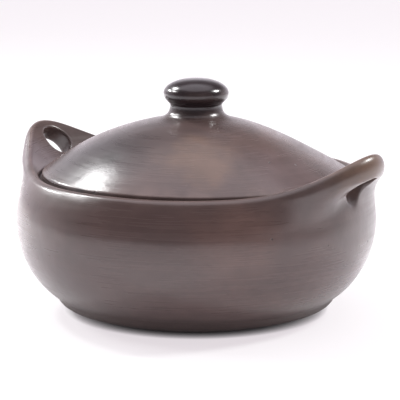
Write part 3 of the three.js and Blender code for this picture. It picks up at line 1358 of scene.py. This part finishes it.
@dataclass(frozen=True)
class ClayFinish:
    """Burnished clay: two tones, how glossy the strokes leave it, and its fire marks and patches
    of painted sheen.

    Between the two heights of smoked_heights, in millimetres, the clay turns to the knob's
    smoked black. A sway is the low and high end of a noise and what each end gives: the tints
    are added to the lightness and the gloss sways to the roughness. The reliefs are depths in
    millimetres.
    """

    name: str
    tone: Shade
    dark_tone: Shade
    roughness: float
    marks: tuple[FireAndSheenMark, ...]
    smoked_heights: tuple[float, float] | None = None
    smoked_most: float = 0.9
    smoked_gloss: float = 0.09
    pit_rarity: float = 0.962
    pit_darkness: float = 0.75
    pit_roughness: float = 0.3
    raw_roughness: float = 0.34
    tone_sway: Sway = (0.38, 0.64, 0.0, 1.0)
    stroke_tint: Sway = (0.36, 0.66, -0.045, 0.045)
    fine_tint: Sway = (0.35, 0.65, -0.03, 0.03)
    mottle_tint: Sway = (0.35, 0.65, -0.06, 0.06)
    wear_sway: Sway = (0.4, 0.6, 0.1, 0.6)
    stroke_gloss: Sway = (0.35, 0.65, -0.02, 0.025)
    fine_gloss: Sway = (0.35, 0.65, -0.015, 0.02)
    firing_gloss: Sway = (0.4, 0.62, 0.04, -0.03)
    stroke_relief: float = 0.008
    fine_relief: float = 0.003
    mottle_relief: float = 0.25
    raw_relief: float = 0.35
    pit_relief: float = 0.25
    grain_scale: float = 900.0

    def material(self, effects: ClayEffects) -> bpy.types.Material:
        """Makes the material.

        Args:
            effects: the shared node groups.

        Returns:
            The material, which reads Object coordinates, the mesh's polish with the pot's painted
            low shade in it, and wear.
        """
        material = bpy.data.materials.new(self.name)
        material.use_nodes = True
        material.node_tree.nodes.clear()
        tree = NodeTree(material.node_tree)
        place = tree.add("TexCoord").outputs["Object"]
        polish_less_low_shade = tree.add("Attribute", attribute_name="polish_less_low_shade").outputs["Fac"]
        wear = tree.add("Attribute", attribute_name="wear").outputs["Fac"]

        def group(source: bpy.types.NodeTree, **inputs: object) -> dict:
            """Places a shared group on the object's coordinates.

            Args:
                source: the group.
                inputs: its inputs by name.

            Returns:
                Its outputs.
            """
            node = tree.add("Group", {}, node_tree=source)
            tree.feed(node.inputs["Vector"], place)
            for label, value in inputs.items():
                tree.feed(node.inputs[label], value)
            return node.outputs

        strokes, firing = group(effects.strokes), group(effects.firing)
        pits = group(effects.pits, Rarity=self.pit_rarity)["Pits"]
        raw_and_low_shade = tree.math("SUBTRACT", 1.0, polish_less_low_shade)

        share = tree.ranged(firing["Broad"], *self.tone_sway)
        colour = tree.mix(share, self.dark_tone.value, self.tone.value)
        for mark in self.marks:
            mask = group(effects.mark, Centre=tuple(v * MM for v in mark.centre),
                         Size=mark.size * MM, Fray=mark.fray)["Mask"]
            colour = tree.mix(tree.times(mask, mark.strength), colour, mark.shade.value)
        gloss: object = 0.0
        if self.smoked_heights is not None:
            height = tree.add("SeparateXYZ", {0: place}).outputs[2]
            low, high = (limit * MM for limit in self.smoked_heights)
            smoked = tree.ranged(height, low, high, 0.0, self.smoked_most)
            colour = tree.mix(smoked, colour, Shade.KNOB.value)
            gloss = tree.times(smoked, -self.smoked_gloss)
        lightness = tree.total(
            1.0,
            tree.ranged(strokes["Broad"], *self.stroke_tint),
            tree.ranged(strokes["Fine"], *self.fine_tint),
            tree.ranged(firing["Mottle"], *self.mottle_tint),
        )
        colour = tree.add("VectorMath", {0: colour, 3: lightness}, operation="SCALE").outputs[0]
        rubbed = tree.times(wear, tree.ranged(firing["Mottle"], *self.wear_sway))
        colour = tree.mix(rubbed, colour, Shade.WORN.value)
        # Raw tone where polish is low: unpolished clay, and painted shade on the pot's lowest
        # wall.
        colour = tree.mix(raw_and_low_shade, colour, Shade.RAW_AND_LOW_SHADE.value)
        colour = tree.mix(tree.times(pits, self.pit_darkness), colour, Shade.SOOT.value)

        rough = tree.total(
            self.roughness,
            tree.ranged(strokes["Broad"], *self.stroke_gloss),
            tree.ranged(strokes["Fine"], *self.fine_gloss),
            tree.ranged(firing["Broad"], *self.firing_gloss),
            gloss,
            tree.times(raw_and_low_shade, self.raw_roughness),
        )
        rough = tree.math("ADD", rough, tree.times(pits, self.pit_roughness), clamp=True)

        grain = tree.noise(place, self.grain_scale, 3.0)
        relief = tree.total(
            tree.times(strokes["Broad"], self.stroke_relief),
            tree.times(strokes["Fine"], self.fine_relief),
            tree.times(firing["Mottle"], self.mottle_relief),
            tree.times(tree.times(grain, raw_and_low_shade), self.raw_relief),
            tree.times(pits, -self.pit_relief),
        )
        bump = tree.add("Bump", {"Strength": 1.0, "Distance": MM, "Height": relief}).outputs[0]
        shader = tree.add("BsdfPrincipled", {
            "Base Color": colour, "Roughness": rough, "Normal": bump, "IOR": 1.5,
            "Specular IOR Level": 0.5,
        })
        tree.add("OutputMaterial", {"Surface": shader.outputs[0]})
        return material


POT_CLAY = ClayFinish(
    name="burnished pot clay", tone=Shade.BODY, dark_tone=Shade.BODY_DARK, roughness=0.29,
    marks=(
        FireAndSheenMark((95.0, -98.0, 78.0), 46.0, Shade.RED, 0.45),
        FireAndSheenMark((30.0, -136.0, 50.0), 70.0, Shade.BODY_DARK, 0.5),
        FireAndSheenMark((-100.0, 96.0, 60.0), 60.0, Shade.AMBER, 0.35),
        FireAndSheenMark((150.0, -12.0, 138.0), 46.0, Shade.AMBER, 0.4),
        # Painted sheen: the left lug's inner face made lighter, as if it reflected the sweep
        # behind.
        FireAndSheenMark((-122.0, -46.0, 112.0), 42.0, Shade.PAINTED_SHEEN, 0.6),
    ),
)
LID_CLAY = ClayFinish(
    name="burnished lid clay", tone=Shade.LID, dark_tone=Shade.LID_DARK, roughness=0.255,
    marks=(
        FireAndSheenMark((46.0, -72.0, 135.0), 44.0, Shade.AMBER, 0.34, 1.3),
        # Painted sheen: the lid's right side made paler.
        FireAndSheenMark((100.0, -28.0, 118.0), 46.0, Shade.PAINTED_SHEEN, 0.3),
        FireAndSheenMark((-42.0, -88.0, 122.0), 78.0, Shade.SMOKE, 0.75, 0.5),
        FireAndSheenMark((-20.0, -88.0, 126.0), 11.0, Shade.SOOT, 0.5),
        FireAndSheenMark((40.0, 66.0, 136.0), 40.0, Shade.SOOT, 0.35),
    ),
    smoked_heights=(150.0, 160.0),
)


# ---------------------------------------------------------------- studio


@dataclass(frozen=True)
class Panel:
    """A soft panel of light that faces the pot, with its place in metres from the axis."""

    name: str
    from_camera: float
    height: float
    distance: float
    size: tuple[float, float]
    power: float

    def hang(self, camera_turn: float, aim_height: float) -> None:
        """Hangs the panel.

        It stands at the distance times the sine and cosine of its turn, and looks at the pot.

        Args:
            camera_turn: the camera's turn in degrees, which from_camera adds to.
            aim_height: height on the axis that it faces, in metres.
        """
        light = bpy.data.lights.new(self.name, "AREA")
        light.shape = "RECTANGLE"
        light.size, light.size_y = self.size
        light.energy = self.power
        panel = bpy.data.objects.new(self.name, light)
        turn = math.radians(camera_turn + self.from_camera)
        panel.location = (self.distance * math.sin(turn), -self.distance * math.cos(turn),
                          self.height)
        aim = Vector((0.0, 0.0, aim_height)) - panel.location
        panel.rotation_euler = aim.to_track_quat("-Z", "Y").to_euler()
        bpy.context.scene.collection.objects.link(panel)


@dataclass(frozen=True)
class Studio:
    """A pale floor, an even pale surround, soft panels of light, and the camera.

    The camera's sizes are in millimetres and degrees. The floor and the surround have one look
    for the camera and another for the light that they shed, as an over-exposed studio has.
    """

    camera_turn: float = 32.9
    camera_tilt: float = 10.65
    camera_distance: float = 1378.5
    camera_height: float = 343.5
    camera_aside: float = 3.0
    lens: float = 161.8
    sensor: float = 36.0
    floor_half: float = 30.0
    floor_cells: int = 8
    floor_below: float = 0.0002
    floor_tone: Colour = (0.80, 0.795, 0.80, 1.0)
    floor_other_tone: Colour = (0.788, 0.783075, 0.788, 1.0)
    shade_tone: Colour = (0.0, 0.03, 0.01, 1.0)
    shade_share: float = 0.72
    shed_colour: Colour = (1.0, 0.94, 1.02, 1.0)
    seen_colour: Colour = (1.0, 0.93, 0.975, 1.0)
    floor_glow: float = 0.58
    seen_glow: float = 0.72
    shed_shadow: float = 0.06
    seen_shadow: float = 0.006
    backdrop: Colour = (0.95, 0.95, 0.95, 1.0)
    dusk: float = 0.22
    sweep_strength: float = 1.2
    overhead_strength: float = 1.75
    overhead_lean: float = 0.12
    sweep_cosines: Place = (-0.35, 0.65)
    sweep_top_cosines: Place = (0.12, 0.6)
    overhead_cosines: Place = (0.79, 0.93)
    aim_height: float = 0.08
    panels: tuple[Panel, ...] = (
        Panel("key panel", -126.5, 1.34, 1.2, (0.22, 0.24), 20.0),
        Panel("low left panel", -124.0, 0.88, 1.5, (0.4, 0.14), 14.0),
        Panel("high left panel", -101.0, 1.17, 1.4, (0.4, 0.14), 11.0),
        Panel("right panel", 96.0, 1.1, 1.1, (0.26, 0.26), 22.0),
    )

    def floor_material(self) -> bpy.types.Material:
        """Off-white, lit from within, and darker where the pot stands close over it.

        Returns:
            The material: one shader for the camera and one for every other ray.
        """
        material = bpy.data.materials.new("pale floor")
        material.use_nodes = True
        material.node_tree.nodes.clear()
        tree = NodeTree(material.node_tree)
        noise = tree.add("TexNoise", {"Vector": tree.add("TexCoord").outputs["Object"],
                                      "Scale": 3.0}).outputs[0]
        shed_tone = tree.mix(noise, self.floor_tone, self.floor_other_tone)
        seen_tone = tree.mix(self.shade_share, shed_tone, self.shade_tone)
        shed, seen = (
            tree.add("BsdfPrincipled", {
                "Base Color": tone, "Roughness": 0.7, "Specular IOR Level": 0.2,
                "Emission Color": colour,
                "Emission Strength": tree.times(
                    tree.add("AmbientOcclusion", {"Distance": reach}, samples=8).outputs["AO"],
                    glow),
            })
            for tone, colour, glow, reach in (
                (shed_tone, self.shed_colour, self.floor_glow, self.shed_shadow),
                (seen_tone, self.seen_colour, self.seen_glow, self.seen_shadow),
            )
        )
        camera_ray = tree.add("LightPath").outputs["Is Camera Ray"]
        both = tree.add("MixShader", {0: camera_ray, 1: shed.outputs[0], 2: seen.outputs[0]})
        tree.add("OutputMaterial", {"Surface": both.outputs[0]})
        return material

    def build_floor(self) -> None:
        """Lays the floor: a wide flat grid just under the foot."""
        corners = self.floor_cells + 1
        steps = np.linspace(-self.floor_half, self.floor_half, corners)
        x, y = np.meshgrid(steps, steps)
        points = np.stack([x, y, np.full_like(x, -self.floor_below)], -1).reshape(-1, 3)
        number = np.arange(corners ** 2).reshape(corners, corners)
        quads = np.stack([number[:-1, :-1], number[:-1, 1:], number[1:, 1:], number[1:, :-1]], -1)
        mesh = bpy.data.meshes.new("floor")
        mesh.from_pydata(points.tolist(), [], quads.reshape(-1, 4).tolist())
        mesh.materials.append(self.floor_material())
        floor = bpy.data.objects.new("floor", mesh)
        bpy.context.scene.collection.objects.link(floor)

    def build_surround(self) -> None:
        """The surround: a plain pale backdrop, and for the light it sheds a studio.

        The studio is a white sweep low down behind the pot, a broad soft light overhead, and
        dusk elsewhere. Each is a smoothstep of the cosine between a direction and its own.
        """
        world = bpy.data.worlds.new("studio")
        world.use_nodes = True
        world.node_tree.nodes.clear()
        tree = NodeTree(world.node_tree)
        turn = math.radians(self.camera_turn)
        way = tree.add("TexCoord").outputs["Generated"]

        def lobe(back: float, up: float, start: float, end: float) -> bpy.types.NodeSocket:
            """1 along a direction, and 0 from where the cosine to it falls to start.

            Args:
                back: how far the direction points away from the camera.
                up: how far it points up.
                start: the cosine that gives 0.
                end: the cosine that gives 1.

            Returns:
                The share.
            """
            towards = (-back * math.sin(turn), back * math.cos(turn), up)
            facing = tree.add("VectorMath", {0: way, 1: towards}, operation="DOT_PRODUCT")
            return tree.ranged(facing.outputs["Value"], start, end, shape="SMOOTHSTEP")

        low = tree.math("SUBTRACT", 1.0, lobe(0.0, 1.0, *self.sweep_top_cosines))
        sweep = tree.times(lobe(1.0, 0.0, *self.sweep_cosines), low)
        lean = self.overhead_lean
        overhead = lobe(lean, math.sqrt(1 - lean ** 2), *self.overhead_cosines)
        strength = tree.total(self.dusk, tree.times(sweep, self.sweep_strength),
                              tree.times(overhead, self.overhead_strength))
        shed = tree.add("Background", {"Color": self.shed_colour, "Strength": strength})
        seen = tree.add("Background", {"Color": self.backdrop, "Strength": 1.0})
        camera_ray = tree.add("LightPath").outputs["Is Camera Ray"]
        both = tree.add("MixShader", {0: camera_ray, 1: shed.outputs[0], 2: seen.outputs[0]})
        tree.add("OutputWorld", {"Surface": both.outputs[0]})
        bpy.context.scene.world = world

    def build_camera(self) -> None:
        """Sets the camera: how far, how high, how far aside and how far it looks down."""
        data = bpy.data.cameras.new("camera")
        data.lens = self.lens
        data.sensor_width = self.sensor
        camera = bpy.data.objects.new("camera", data)
        turn = math.radians(self.camera_turn)
        camera.location = Vector((
            self.camera_aside * math.cos(turn) + self.camera_distance * math.sin(turn),
            self.camera_aside * math.sin(turn) - self.camera_distance * math.cos(turn),
            self.camera_height,
        )) * MM
        camera.rotation_euler = (math.radians(90.0 - self.camera_tilt), 0.0, turn)
        bpy.context.scene.collection.objects.link(camera)
        bpy.context.scene.camera = camera

    def build(self) -> None:
        """Sets up everything around the pot."""
        self.build_camera()
        self.build_floor()
        self.build_surround()
        for panel in self.panels:
            panel.hang(self.camera_turn, self.aim_height)
        bpy.context.scene.view_settings.view_transform = "Standard"


def main() -> None:
    """Builds the studio, the finishes, the pot and the lid, in that order."""
    logging.basicConfig(level=logging.INFO)
    Studio().build()
    effects = ClayEffects()
    for maker, finish in ((Pot(), POT_CLAY), (Lid(), LID_CLAY)):
        piece = maker.build()
        piece.data.materials.append(finish.material(effects))
        log.info("%s built in %s", piece.name, finish.name)


if __name__ == "__main__":
    main()
